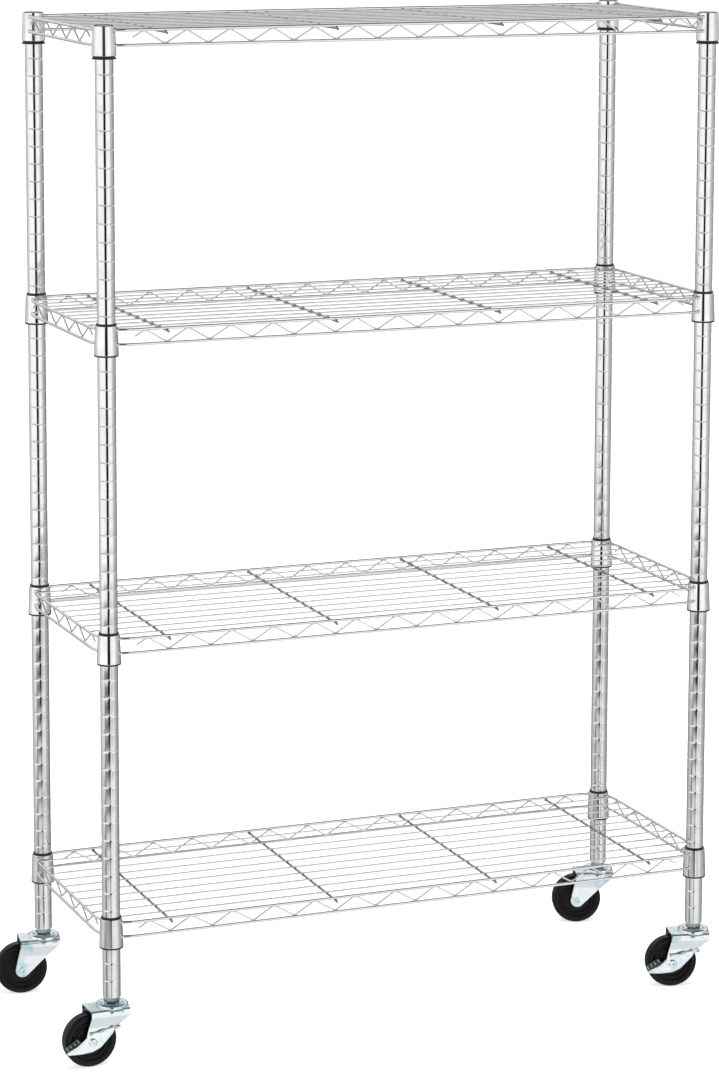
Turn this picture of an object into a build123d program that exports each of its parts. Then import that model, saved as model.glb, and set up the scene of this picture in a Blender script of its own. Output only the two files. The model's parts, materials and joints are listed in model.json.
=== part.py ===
from build123d import *
from math import atan2, cos, degrees, radians, sin, sqrt
import os

# Wire shelving rack on four swivel casters. Millimetres, +Z up. The origin is on
# the floor, midway between the four posts. +X runs along the shelves and -Y is the
# side that people reach in from.

# ---- overall sizes -------------------------------------------------------------
post_pitch_x = 914.4        # post centre to post centre along the shelves
post_pitch_y = 330.2        # post centre to post centre across the shelves
wheel_diameter = 76.2

# ---- posts: two tubes screwed end to end ---------------------------------------
post_diameter = 25.4
post_wall = 1.2
lower_post_length = 685.8
upper_post_length = 675.2
groove_pitch = 25.4         # one groove an inch, counted from the bottom of the post
groove_width = 1.8
groove_depth = 0.5
groove_end_margin = 5.0     # no groove nearer than this to a tube's end
tube_edge = 0.35            # chamfer on the tube ends
bush_length = 22.0          # pressed into the top of the lower tube
stud_diameter = 9.4
stud_chamfer = 1.0
stud_reach = 18.0
stud_plug_length = 16.0     # pressed into the bottom of the upper tube
thread_clearance = 0.1
socket_length = 28.0        # pressed into the bottom of the lower tube
cap_plug_length = 10.0
cap_recess = 6.5
cap_wall = 1.6
cap_edge = 0.6

# ---- split sleeves: snapped round the post under each collar -------------------
sleeve_length = 45.0
sleeve_top_radius = 14.0
sleeve_bottom_radius = 15.3
sleeve_ridge_height = 29.6  # from the sleeve's bottom to the ridge inside it
sleeve_ridge_depth = 0.4
sleeve_ridge_width = 0.8
sleeve_seam = 0.4           # gap where the two halves meet
sleeve_edge = 0.5
sleeve_lip_radius = 16.6    # lip at the foot, where the black ring shows under the collar
sleeve_lip_height = 1.4
sleeve_slot_width = 1.6     # upright slot down the middle of each half, so that it can spring
sleeve_slot_depth = 0.5     # from the outside of its top

# ---- shelves -------------------------------------------------------------------
# Which groove each shelf's sleeves sit in, and how far above the sleeve's bottom
# its collar comes to rest.
shelf_grooves = {"bottom": 4, "lower": 20, "upper": 37, "top": 53}
collar_rise = {"bottom": 1.5, "lower": 1.5, "upper": 1.5, "top": 3.9}
collar_height = 40.5
collar_top_radius = 15.4
collar_bottom_radius = 17.0
collar_fit = 0.08           # radial clearance of the collar on its sleeve
collar_edge = 0.4
rail_diameter = 4.2
rail_offset = 14.5          # rails stand this far outside the post centre lines
top_rail_drop = 5.6         # below the top of the collar
bottom_rail_rise = 14.4     # above the bottom of the collar
rail_end_angle = 51.0       # where on the collar a rail is welded, from straight out
rail_bend_start = 30.0      # rails turn in this far from the post centre
rail_bend_radius = 40.0
truss_diameter = 2.5
truss_pitch = 62.25
truss_bend_radius = 3.4
long_truss_peaks = 14
short_truss_peaks = 5
truss_lap = 1.5             # how far a bend stops short of the rail's centre height
deck_wire_diameter = 2.4
deck_wire_count = 10
rib_diameter = 3.8
rib_pitches = (-6, -2, 2, 6)    # rib places, counted in truss pitches from the middle
rib_overhang = 2.6          # past the outside of the long rails
rib_tail = 6.0              # length of the turned-down end
rib_tail_drop = 1.2
weld_sink = 0.3             # how far welded wires sink into each other

# ---- casters -------------------------------------------------------------------
# Direction that each wheel trails in, in degrees from +X.
trail_angles = {"front_left": 181.0, "front_right": 165.0, "back_left": 171.0, "back_right": 162.0}
braked_corners = ("front_left", "front_right")
wheel_trail = 34.0
tread_flat_half_width = 7.4
hub_half_width = 12.6
hub_radius = 11.0
hub_chamfer = 1.0
web_half_width = 7.6
web_start = 1.2             # outside the hub
# Rings and steps on the wheel's side: share of the wheel's radius, half width there.
wheel_side = ((0.590, 7.0), (0.619, 8.6), (0.751, 8.6), (0.782, 9.8), (0.819, 10.8), (0.908, 10.8),
              (0.969, 9.6))
bush_outer_radius = 6.0
bush_inner_radius = 4.0
bush_running_gap = 0.05
axle_clearance = 0.05
axle_head_radius = 6.4
axle_head_height = 2.6
axle_head_dimple = 1.0
fork_wall = 2.2
fork_inner_half_width = 13.0
fork_top_half_width = 20.5
fork_flare_start = 23.8     # the legs are parallel up to this far below the crown's top,
fork_flare_end = 5.8        # and done spreading at this far below it
fork_eye_radius = 10.5
fork_back_reach = 37.0      # crown plate, towards the wheel
fork_front_reach = 20.0     # legs, away from the wheel
fork_front_depth = 7.0
crown_gap = 3.4             # over the wheel
crown_radius = 25.0
crown_skirt = 5.5
crown_edge = 1.6
wheel_clearance = 2.6       # round the wheel inside the fork
stem_diameter = 11.1
stem_gap = 0.07
stem_reach = 26.0           # up into the post
stem_head_radius = 9.0
stem_head_height = 3.6
stem_head_round = 2.1
stem_head_gap = 0.2
nut_across_flats = 19.0
nut_height = 10.3
ball_radius = 2.38
ball_circle = 17.5
ball_count = 14
ball_gap = 0.05
ball_sink = 0.55            # how far the balls sit below the crown's top
cup_wall = 1.8
cup_radius = 23.0
cup_floor_height = 4.4      # top of the cup's middle, above the crown
cup_floor_radius = 12.6
cup_rim_height = 7.2
cup_skirt_gap = 1.3         # over the crown

# ---- brake levers, on the axles of the front casters ---------------------------
lever_wall = 1.8
lever_gap = 0.35            # between the lever and the fork leg
lever_outline = ((-38, -14), (-18, -15), (0, -13.6), (12, -8), (30, 10.5), (33, 17),
                 (31, 21.5), (14, 16.5), (-5, 13.5), (-9, 8), (-23, -3.6), (-38, -10.2))
lever_corner = 1.4
pedal_start = (-37.5, -10.6)    # the folded grip runs between these two points
pedal_end = (-16.5, 2.2)
pedal_width = 8.0
pedal_lean = 32.0
pedal_ridges = 4
pedal_ridge_radius = 0.55
pedal_ridge_length = 5.6
bead_radius = 1.7
bead_line = ((-4, 13.2), (13, 16.2), (29.5, 20.6))
tab_length = 13.0
tab_width = 6.4
tab_round = 2.9
tab_place = (29.5, 18.2)    # where the toe tab starts, from the axle
tab_turn = 22.0             # it turns outwards by this much
tab_tilt = 8.0

# ---- worked-out sizes ----------------------------------------------------------
post_radius = post_diameter / 2
tube_bore = post_radius - post_wall
post_length = lower_post_length + upper_post_length
half_x = post_pitch_x / 2
half_y = post_pitch_y / 2
rail_radius = rail_diameter / 2
truss_radius = truss_diameter / 2
deck_radius = deck_wire_diameter / 2
rib_radius = rib_diameter / 2
wheel_radius = wheel_diameter / 2
crown_under = wheel_diameter + crown_gap
crown_top = crown_under + fork_wall
fork_outer_half_width = fork_inner_half_width + fork_wall
axle_radius = bush_inner_radius - axle_clearance
stem_radius = stem_diameter / 2
ball_height = crown_top - ball_sink + ball_radius
cup_floor = crown_top + cup_floor_height
caster_height = cup_floor + nut_height  # floor to the bottom of the posts
corners = {"front_left": (-half_x, -half_y), "front_right": (half_x, -half_y),
           "back_left": (-half_x, half_y), "back_right": (half_x, half_y)}


def group(solids):
    return Compound(children=list(solids))


def at_posts(shape, height=0.0):
    """Copies of a shape at the four posts."""
    return [Pos(x, y, height) * shape for x, y in corners.values()]


def turned(points):
    """A ring turned about the Z axis from its (radius, height) outline."""
    return revolve(Plane.XZ * make_face(Polyline(*points, close=True)), Axis.Z)


def turned_across(points):
    """The same, about the Y axis, from a (radius, place along the axis) outline."""
    return Rot(90, 0, 0) * turned(points)


def drum(radius, bottom, top):
    return Pos(0, 0, bottom) * Cylinder(radius, top - bottom, align=(Align.CENTER, Align.CENTER, Align.MIN))


def wire(points, radius, bend):
    """A round wire through the points, its corners bent to one radius."""
    path = FilletPolyline(*points, radius=bend)
    return sweep(Plane(origin=path @ 0, z_dir=path % 0) * Circle(radius), path)


def straight_wire(start, end, radius):
    run = Vector(*end) - Vector(*start)
    return extrude(Plane(origin=start, z_dir=run) * Circle(radius), run.length)


# ---- posts ---------------------------------------------------------------------
def grooved_tube(bottom, top):
    """A tube between two heights on the post, with every groove that falls on it."""
    outline = [(tube_bore, bottom), (post_radius - tube_edge, bottom), (post_radius, bottom + tube_edge)]
    for number in range(1, int(post_length / groove_pitch) + 1):
        middle = number * groove_pitch
        if bottom + groove_end_margin < middle < top - groove_end_margin:
            outline += [(post_radius, middle - groove_width / 2),
                        (post_radius - groove_depth, middle - groove_width / 5),
                        (post_radius - groove_depth, middle + groove_width / 5),
                        (post_radius, middle + groove_width / 2)]
    outline += [(post_radius, top - tube_edge), (post_radius - tube_edge, top), (tube_bore, top)]
    return turned(outline)


def joint_bush():
    """Threaded bush in the top of a lower tube."""
    hole = stud_diameter / 2 + thread_clearance
    return turned([(hole, lower_post_length - bush_length), (tube_bore, lower_post_length - bush_length),
                   (tube_bore, lower_post_length), (hole, lower_post_length)])


def joint_stud():
    """Plug in the bottom of an upper tube, with the stud that screws down into the bush."""
    radius = stud_diameter / 2
    tip = lower_post_length - stud_reach
    plug_top = lower_post_length + stud_plug_length
    return turned([(0, tip), (radius - stud_chamfer, tip), (radius, tip + stud_chamfer),
                   (radius, lower_post_length), (tube_bore, lower_post_length), (tube_bore, plug_top), (0, plug_top)])


def caster_socket():
    """Threaded socket in the bottom of a lower tube, for the caster's stem."""
    hole = stem_radius + thread_clearance
    return turned([(hole, 0), (tube_bore, 0), (tube_bore, socket_length), (hole, socket_length)])


def post_cap():
    """Plug that closes the top of a post, flush with the tube."""
    top = post_length
    plug_bottom = top - cap_plug_length
    recess_top = plug_bottom + cap_recess
    return turned([(0, recess_top), (tube_bore - cap_wall, recess_top), (tube_bore - cap_wall, plug_bottom),
                   (tube_bore, plug_bottom), (tube_bore, top - cap_edge), (tube_bore - cap_edge, top), (0, top)])


def make_posts():
    nodes = {}
    lower = grooved_tube(0, lower_post_length)
    upper = grooved_tube(lower_post_length, post_length)
    for corner, (x, y) in corners.items():
        nodes["post_lower_" + corner] = Pos(x, y, caster_height) * lower
        nodes["post_upper_" + corner] = Pos(x, y, caster_height) * upper
    nodes["post_joint_bushes"] = group(at_posts(joint_bush(), caster_height))
    nodes["post_joint_studs"] = group(at_posts(joint_stud(), caster_height))
    nodes["caster_sockets"] = group(at_posts(caster_socket(), caster_height))
    nodes["post_caps"] = group(at_posts(post_cap(), caster_height))
    return nodes


# ---- sleeves -------------------------------------------------------------------
def sleeve_radius(height):
    """Outside radius of the tapered sleeve, at a height above its bottom."""
    return sleeve_bottom_radius + (sleeve_top_radius - sleeve_bottom_radius) * height / sleeve_length


def sleeve_halves():
    """The two halves of a sleeve, with the ridge that drops into a groove of the post."""
    ridge = sleeve_ridge_height
    lip = sleeve_lip_radius
    ring = turned([(post_radius, 0), (lip - sleeve_edge, 0), (lip, sleeve_edge), (lip, sleeve_lip_height),
                   (sleeve_radius(sleeve_lip_height), sleeve_lip_height),
                   (sleeve_radius(sleeve_length - sleeve_edge), sleeve_length - sleeve_edge),
                   (sleeve_top_radius - sleeve_edge, sleeve_length), (post_radius, sleeve_length),
                   (post_radius, ridge + sleeve_ridge_width / 2),
                   (post_radius - sleeve_ridge_depth, ridge + sleeve_ridge_width / 4),
                   (post_radius - sleeve_ridge_depth, ridge - sleeve_ridge_width / 4),
                   (post_radius, ridge - sleeve_ridge_width / 2)])
    seam = Rot(0, 0, 45) * Box(3 * sleeve_lip_radius, sleeve_seam, 3 * sleeve_length)
    slot = Pos(0, sleeve_top_radius + sleeve_length / 2 - sleeve_slot_depth, 0) * Box(
        sleeve_slot_width, sleeve_length, 3 * sleeve_length)
    slots = Rot(0, 0, 45) * slot + Rot(0, 0, 225) * slot
    return (ring - seam - slots).solids()


def sleeve_bottom(shelf):
    return caster_height + shelf_grooves[shelf] * groove_pitch - sleeve_ridge_height


# ---- shelves -------------------------------------------------------------------
def collar_radius(height):
    """Outside radius of the collar, at a height above its bottom."""
    return collar_bottom_radius + (collar_top_radius - collar_bottom_radius) * height / collar_height


def collar(rise):
    """Tapered corner collar, bored to sit down on its sleeve."""
    bore_bottom = sleeve_radius(rise) + collar_fit
    bore_top = sleeve_radius(rise + collar_height) + collar_fit
    return turned([(bore_bottom, 0), (collar_bottom_radius - collar_edge, 0),
                   (collar_radius(collar_edge), collar_edge),
                   (collar_radius(collar_height - collar_edge), collar_height - collar_edge),
                   (collar_top_radius - collar_edge, collar_height), (bore_top, collar_height)])


def rail_end(height):
    """Where a rail meets the collar: (distance along the rail, distance out) from the post centre."""
    radius = collar_radius(height)
    return radius * sin(radians(rail_end_angle)), radius * cos(radians(rail_end_angle))


def rail(half_run, half_gap, height):
    """One rail along X at -Y, welded to a collar at each end."""
    along, out = rail_end(height)
    points = [(-half_run + along, -half_gap - out, height),
              (-half_run + rail_bend_start, -half_gap - rail_offset, height),
              (half_run - rail_bend_start, -half_gap - rail_offset, height),
              (half_run - along, -half_gap - out, height)]
    return wire(points, rail_radius, rail_bend_radius)


def truss(peaks, half_gap, bottom, top):
    """Zigzag wire behind a pair of rails along X at -Y, with a loose half leg at each end."""
    low = bottom + truss_lap
    high = top - truss_lap
    inset = sqrt((rail_radius + truss_radius - weld_sink) ** 2 - truss_lap ** 2)
    y = -half_gap - rail_offset + inset
    first = -(peaks - 1) / 2 * truss_pitch
    points = [(first - truss_pitch / 4, y, (low + high) / 2)]
    for turn in range(2 * peaks - 1):
        points.append((first + turn * truss_pitch / 2, y, low if turn % 2 else high))
    points.append((-first + truss_pitch / 4, y, (low + high) / 2))
    return wire(points, truss_radius, truss_bend_radius)


def rail_out(gap_to_post, height):
    """How far outside the post centre line a rail's centre is, beside the bend at its end."""
    along, out = rail_end(height)
    share = min(1, (gap_to_post - along) / (rail_bend_start - along))
    return out + (rail_offset - out) * share


def deck_wires(rail_height, height):
    """Wires along X that things stand on, butted against the short rails."""
    wires = []
    span = half_y + rail_offset
    for number in range(1, deck_wire_count + 1):
        y = span * (2 * number / (deck_wire_count + 1) - 1)
        reach = half_x + rail_out(half_y - abs(y), rail_height) - rail_radius + 2 * weld_sink
        wires.append(straight_wire((-reach, y, height), (reach, y, height), deck_radius))
    return wires


def ribs(height):
    """Wires across the shelf, under the deck wires and the long rails."""
    end = half_y + rail_offset + rail_radius + rib_overhang
    bend = end - rib_tail
    wires = []
    for place in rib_pitches:
        x = place * truss_pitch
        points = [(x, -end, height - rib_tail_drop), (x, -bend, height), (x, bend, height),
                  (x, end, height - rib_tail_drop)]
        wires.append(wire(points, rib_radius, 2 * rib_diameter))
    return wires


def make_shelf(name):
    rise = collar_rise[name]
    top = collar_height - top_rail_drop
    bottom = bottom_rail_rise
    rib_height = top - rail_radius - rib_radius + weld_sink
    deck_height = rib_height + rib_radius + deck_radius - weld_sink
    quarter = Rot(0, 0, 90)
    half = Rot(0, 0, 180)
    rails = []
    long_truss = truss(long_truss_peaks, half_y, bottom, top)
    short_truss = quarter * truss(short_truss_peaks, half_x, bottom, top)
    for height in (bottom, top):
        long_rail = rail(half_x, half_y, height)
        short_rail = quarter * rail(half_y, half_x, height)
        rails += [long_rail, half * long_rail, short_rail, half * short_rail]
    trusses = [long_truss, half * long_truss, short_truss, half * short_truss]
    parts = {"collars": at_posts(collar(rise)), "rails": rails, "trusses": trusses,
             "deck_wires": deck_wires(top, deck_height), "ribs": ribs(rib_height)}
    lift = Pos(0, 0, sleeve_bottom(name) + rise)
    return {"shelf_" + name + "_" + part: lift * group(solids) for part, solids in parts.items()}


# ---- casters: modelled trailing towards -X, with the stem on the Z axis ----------
def wheel():
    """Solid wheel with a stepped side and a hub boss."""
    side = [(bush_outer_radius + bush_running_gap, hub_half_width), (hub_radius - hub_chamfer, hub_half_width),
            (hub_radius, hub_half_width - hub_chamfer), (hub_radius + web_start, web_half_width)]
    side += [(share * wheel_radius, half_width) for share, half_width in wheel_side]
    side.append((wheel_radius, tread_flat_half_width))
    other = [(radius, -along) for radius, along in reversed(side)]
    return Pos(-wheel_trail, 0, wheel_radius) * turned_across(side + other)


def axle_bush():
    """Bush that the fork legs clamp and the wheel turns on."""
    reach = fork_inner_half_width
    tube = turned_across([(bush_inner_radius, -reach), (bush_outer_radius, -reach), (bush_outer_radius, reach),
                          (bush_inner_radius, reach)])
    return Pos(-wheel_trail, 0, wheel_radius) * tube


def axle(extra):
    """Riveted axle; extra is the room it leaves for a lever outside the -Y leg."""
    near = fork_outer_half_width + extra
    far = fork_outer_half_width
    dome = axle_head_height
    head = axle_head_radius
    # turned_across lays +height along -Y
    outline = [(0, -far - dome + axle_head_dimple), (head * 0.3, -far - dome), (head * 0.7, -far - dome),
               (head, -far - dome * 0.4), (head, -far), (axle_radius, -far), (axle_radius, near), (head, near),
               (head, near + dome * 0.4), (head * 0.7, near + dome), (head * 0.3, near + dome),
               (0, near + dome - axle_head_dimple)]
    return Pos(-wheel_trail, 0, wheel_radius) * turned_across(outline)


def fork_section():
    """The fork seen along X: an upside-down channel whose legs spread towards the crown."""
    def channel(inset, top):
        leg = fork_outer_half_width - inset
        wide = fork_top_half_width - inset
        low, high = crown_top - fork_flare_start, crown_top - fork_flare_end
        points = [(-leg, 0), (-leg, low), (-wide, high), (-wide, top),
                  (wide, top), (wide, high), (leg, low), (leg, 0)]
        return Polyline(*points, close=True)
    outer = make_face(channel(0, crown_top))
    inner = make_face(channel(fork_wall, crown_under))
    corner_edges = outer.vertices().group_by(Axis.Y)[-1]
    return fillet(corner_edges, crown_edge) - inner


def fork():
    """Swivel fork: crown plate with a round skirt, and two legs down to the axle."""
    eye = Pos(-wheel_trail, wheel_radius) * Circle(fork_eye_radius)
    plate = make_face(Polyline((-fork_back_reach, crown_top - fork_front_depth), (-fork_back_reach, crown_top),
                               (fork_front_reach, crown_top), (fork_front_reach, crown_top - fork_front_depth),
                               close=True))
    outline = make_hull((eye + plate).edges())
    width = 3 * crown_radius
    sides = extrude(Plane.XZ * outline, width / 2, both=True)
    channel = extrude(Plane.YZ * fork_section(), 3 * crown_radius, both=True)
    legs = sides & channel
    dish = drum(crown_radius, crown_top - crown_skirt, crown_top)
    dish = fillet(dish.edges().group_by(Axis.Z)[-1], crown_edge)
    hollow = drum(crown_radius - fork_wall, 0, crown_under)
    room = Pos(-wheel_trail, 0, wheel_radius) * Rot(90, 0, 0) * Cylinder(
        wheel_radius + wheel_clearance, 2 * fork_inner_half_width)
    body = legs + (dish - hollow - room)
    body -= drum(stem_radius + stem_gap, 0, 2 * crown_top)
    body -= Pos(-wheel_trail, 0, wheel_radius) * Rot(90, 0, 0) * Cylinder(axle_radius, width)
    body -= Pos(0, 0, ball_height) * Torus(ball_circle, ball_radius + ball_gap)
    return body.solid()


def race_cup():
    """Upper race: a pressed cup whose raised rim holds the balls."""
    floor = cup_floor
    rim = crown_top + cup_rim_height
    skirt = crown_top + cup_skirt_gap
    cup = turned([(stem_radius, floor - cup_wall), (cup_floor_radius, floor - cup_wall),
                  (ball_circle - ball_radius, rim - cup_wall), (ball_circle + ball_radius, rim - cup_wall),
                  (cup_radius - cup_wall, rim - 2 * cup_wall), (cup_radius - cup_wall, skirt), (cup_radius, skirt),
                  (cup_radius, rim - cup_wall), (ball_circle + ball_radius, rim), (ball_circle - ball_radius, rim),
                  (cup_floor_radius, floor), (stem_radius, floor)])
    return cup - Pos(0, 0, ball_height) * Torus(ball_circle, ball_radius + ball_gap)


def swivel_balls():
    return [Rot(0, 0, 360 * number / ball_count) * Pos(ball_circle, 0, ball_height) * Sphere(ball_radius)
            for number in range(ball_count)]


def caster_stem():
    """Kingpin and threaded stem in one, with the nut that jams under the post."""
    head_top = crown_under - stem_head_gap
    shank = drum(stem_radius, head_top - stem_head_height / 2, caster_height + stem_reach)
    head = drum(stem_head_radius, head_top - stem_head_height, head_top)
    head = fillet(head.edges().group_by(Axis.Z)[0], stem_head_round)
    nut = Pos(0, 0, cup_floor) * extrude(RegularPolygon(nut_across_flats / 2, 6, major_radius=False), nut_height)
    return (shank + head + nut).solid()


# ---- brake lever: modelled round the axle, on the -Y side of the fork ------------
def rounded_slab(points, corner, near, far):
    """A flat outline in X and Z, made solid between two distances out from the wheel."""
    face = make_face(Polyline(*points, close=True))
    face = fillet(face.vertices(), corner)
    return Pos(0, -near, 0) * extrude(Plane.XZ * face, far - near)


def brake_lever():
    """Stamped rocker: side plate, ridged grip folded over at the back, bead and toe tab."""
    near = fork_outer_half_width + lever_gap
    far = near + lever_wall
    body = rounded_slab(lever_outline, lever_corner, near, far)
    run_x = pedal_end[0] - pedal_start[0]
    run_z = pedal_end[1] - pedal_start[1]
    slope = degrees(atan2(run_z, run_x))
    length = sqrt(run_x ** 2 + run_z ** 2)
    grip = Box(length, lever_wall, pedal_width, align=(Align.MIN, Align.CENTER, Align.MIN))
    for number in range(pedal_ridges):
        along = length * (number + 0.5) / pedal_ridges
        grip += Pos(along, -lever_wall / 2, pedal_width / 2) * Cylinder(pedal_ridge_radius, pedal_ridge_length)
    middle = -(near + far) / 2
    body += Pos(pedal_start[0], middle, pedal_start[1]) * Rot(0, -slope, 0) * Rot(-pedal_lean, 0, 0) * grip
    line = [(x, -far, z) for x, z in bead_line]
    room = 4 * wheel_diameter
    outside = Pos(0, -near - room / 2, 0) * Box(room, room, room)
    body += wire(line, bead_radius, 4 * bead_radius) & outside
    tab = Box(tab_length, lever_wall, tab_width, align=(Align.MIN, Align.CENTER, Align.CENTER))
    tab = fillet(tab.edges().filter_by(Axis.Y).group_by(Axis.X)[-1], tab_round)
    body += Pos(tab_place[0], middle, tab_place[1]) * Rot(0, -tab_tilt, 0) * Rot(0, 0, -tab_turn) * tab
    body -= Rot(90, 0, 0) * Cylinder(axle_radius + axle_clearance, 4 * far)
    return (Pos(-wheel_trail, 0, wheel_radius) * body).solid()


def make_casters():
    nodes = {}
    stem = caster_stem()
    cup = race_cup()
    balls = swivel_balls()
    nodes["caster_stems"] = group(at_posts(stem))
    nodes["caster_race_cups"] = group(at_posts(cup))
    nodes["caster_swivel_balls"] = group(Pos(x, y) * ball for x, y in corners.values() for ball in balls)
    fork_shape = fork()
    wheel_shape = wheel()
    bush_shape = axle_bush()
    lever_shape = brake_lever()
    for corner, (x, y) in corners.items():
        place = Pos(x, y, 0) * Rot(0, 0, trail_angles[corner] - 180)
        braked = corner in braked_corners
        extra = lever_wall + 2 * lever_gap if braked else 0.0
        nodes["caster_fork_" + corner] = place * fork_shape
        nodes["caster_wheel_" + corner] = place * wheel_shape
        nodes["caster_axle_" + corner] = place * axle(extra)
        nodes["caster_axle_bush_" + corner] = place * bush_shape
        if braked:
            nodes["brake_lever_" + corner] = place * lever_shape
    return nodes


def make_all():
    nodes = make_posts()
    halves = sleeve_halves()
    for name in shelf_grooves:
        height = sleeve_bottom(name)
        nodes["sleeves_" + name] = group(piece for half in halves for piece in at_posts(half, height))
        nodes.update(make_shelf(name))
    nodes.update(make_casters())
    return nodes


os.makedirs("parts", exist_ok=True)
for node, shape in make_all().items():
    export_step(shape, os.path.join("parts", node + ".step"))
    print(node, round(sum(solid.volume for solid in shape.solids()), 1))
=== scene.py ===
import bpy
import json
import math
import numpy as np
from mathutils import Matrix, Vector


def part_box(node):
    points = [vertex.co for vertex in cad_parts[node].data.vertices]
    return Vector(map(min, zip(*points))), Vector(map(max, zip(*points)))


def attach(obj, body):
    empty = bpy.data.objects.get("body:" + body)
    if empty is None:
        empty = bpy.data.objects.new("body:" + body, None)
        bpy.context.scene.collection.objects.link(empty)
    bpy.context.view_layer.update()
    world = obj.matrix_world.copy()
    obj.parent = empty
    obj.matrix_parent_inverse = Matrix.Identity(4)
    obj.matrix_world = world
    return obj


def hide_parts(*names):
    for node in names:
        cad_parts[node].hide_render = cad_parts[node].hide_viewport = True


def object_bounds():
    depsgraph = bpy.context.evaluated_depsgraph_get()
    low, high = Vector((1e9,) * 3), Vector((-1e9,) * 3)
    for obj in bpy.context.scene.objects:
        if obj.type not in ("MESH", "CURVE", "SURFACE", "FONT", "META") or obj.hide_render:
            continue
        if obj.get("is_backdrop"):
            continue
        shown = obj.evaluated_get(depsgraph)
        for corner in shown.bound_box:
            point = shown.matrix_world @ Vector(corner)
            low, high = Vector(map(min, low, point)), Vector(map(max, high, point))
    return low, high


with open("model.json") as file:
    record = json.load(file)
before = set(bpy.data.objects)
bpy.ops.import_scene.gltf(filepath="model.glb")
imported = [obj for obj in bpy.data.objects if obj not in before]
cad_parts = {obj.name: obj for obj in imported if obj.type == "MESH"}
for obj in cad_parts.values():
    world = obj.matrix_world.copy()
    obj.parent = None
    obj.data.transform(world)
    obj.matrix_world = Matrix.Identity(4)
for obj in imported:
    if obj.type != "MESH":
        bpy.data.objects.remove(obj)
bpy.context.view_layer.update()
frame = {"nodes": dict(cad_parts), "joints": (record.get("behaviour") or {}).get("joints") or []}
mm = 0.001

cornerNames = ("front_left", "front_right", "back_left", "back_right")
shelfNames = ("bottom", "lower", "upper", "top")
brakedCorners = ("front_left", "front_right")


# Places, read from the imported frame

def boxMiddle(node):
    low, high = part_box(node)
    return (np.array(low) + np.array(high)) / 2


def jointNamed(name):
    return next(joint for joint in frame["joints"] if joint["name"] == name)


postPlaces = {corner: boxMiddle("post_lower_" + corner)[:2] for corner in cornerNames}
halfLong = postPlaces["front_right"][0]     # post centre lines from the middle, along the shelves
halfDeep = postPlaces["back_left"][1]       # and across them
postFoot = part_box("post_lower_front_left")[0].z
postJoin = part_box("post_lower_front_left")[1].z
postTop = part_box("post_upper_front_left")[1].z


# Surfaces: a shape is a pair, its points and a list of its faces

def gridShape(points, around=True, along=False, capEnds=False, capSides=False):
    # points[i, j]: i steps along a profile or path and j steps round it, every four neighbours are one face
    rows, columns = points.shape[:2]
    index = np.arange(rows * columns).reshape(rows, columns)
    grid = np.concatenate([index, index[:, :1]], 1) if around else index
    grid = np.concatenate([grid, grid[:1]], 0) if along else grid
    quads = np.stack([grid[:-1, :-1], grid[:-1, 1:], grid[1:, 1:], grid[1:, :-1]], -1).reshape(-1, 4)
    faces = quads.tolist()
    if capEnds:
        faces += [index[0, ::-1].tolist(), index[-1].tolist()]
    if capSides:
        faces += [index[:, 0].tolist(), index[::-1, -1].tolist()]
    return points.reshape(-1, 3), faces


def joined(shapes):
    shapes = list(shapes)
    counts = np.cumsum([0] + [len(points) for points, faces in shapes])
    faces = [[corner + start for corner in face] for start, (points, group) in zip(counts, shapes) for face in group]
    return np.concatenate([points for points, group in shapes]), faces


def shifted(shape, x=0.0, y=0.0, z=0.0):
    return shape[0] + np.array([x, y, z]), shape[1]


def turnedAbout(shape, axis, degrees):
    # rotation about a row axis through the origin: the two other coordinates mix by sine and cosine
    angle = math.radians(degrees)
    a, b = {"x": (1, 2), "y": (2, 0), "z": (0, 1)}[axis]
    points = shape[0].copy()
    points[:, a] = shape[0][:, a] * math.cos(angle) - shape[0][:, b] * math.sin(angle)
    points[:, b] = shape[0][:, a] * math.sin(angle) + shape[0][:, b] * math.cos(angle)
    return points, shape[1]


def flipped(shape):
    return shape[0], [face[::-1] for face in shape[1]]


def rounded(corners, radius, steps=4, closed=False):
    # each corner P becomes the curve (1-t)^2 A + 2t(1-t) P + t^2 B between points A and B on its two sides, with a
    # guard point a tenth further out on each side that keeps the straight runs flat when they are shaded
    corners = np.asarray(corners, float)
    before = np.roll(corners, 1, 0) - corners
    after = np.roll(corners, -1, 0) - corners
    lengthBefore = np.linalg.norm(before, axis=1, keepdims=True)
    lengthAfter = np.linalg.norm(after, axis=1, keepdims=True)
    reach = np.minimum(np.broadcast_to(np.reshape(radius, (-1, 1)), lengthBefore.shape),
                       0.45 * np.minimum(lengthBefore, lengthAfter))
    start = (corners + before / lengthBefore * reach)[:, None]
    end = (corners + after / lengthAfter * reach)[:, None]
    t = np.linspace(0, 1, steps)[None, :, None]
    curve = (1 - t) ** 2 * start + 2 * t * (1 - t) * corners[:, None] + t ** 2 * end
    curve = np.concatenate([1.1 * start - 0.1 * corners[:, None], curve, 1.1 * end - 0.1 * corners[:, None]], 1)
    if closed:
        return curve.reshape(-1, corners.shape[1])
    middle = curve[1:-1].reshape(-1, corners.shape[1])
    return np.concatenate([corners[:1], middle, corners[-1:]])


def lathe(profile, sides, hollow=False, arc=None):
    # (radius r, height z) turned about Z: x = r cos(angle), y = r sin(angle)
    profile = np.asarray(profile, float)
    if arc is None:
        angle = np.arange(sides) * 2 * np.pi / sides
    else:
        angle = np.linspace(*arc, sides)
    points = np.stack([profile[:, :1] * np.cos(angle), profile[:, :1] * np.sin(angle),
                       np.repeat(profile[:, 1:], sides, 1)], -1)
    return gridShape(points, around=arc is None, along=hollow, capEnds=not hollow, capSides=arc is not None)


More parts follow.
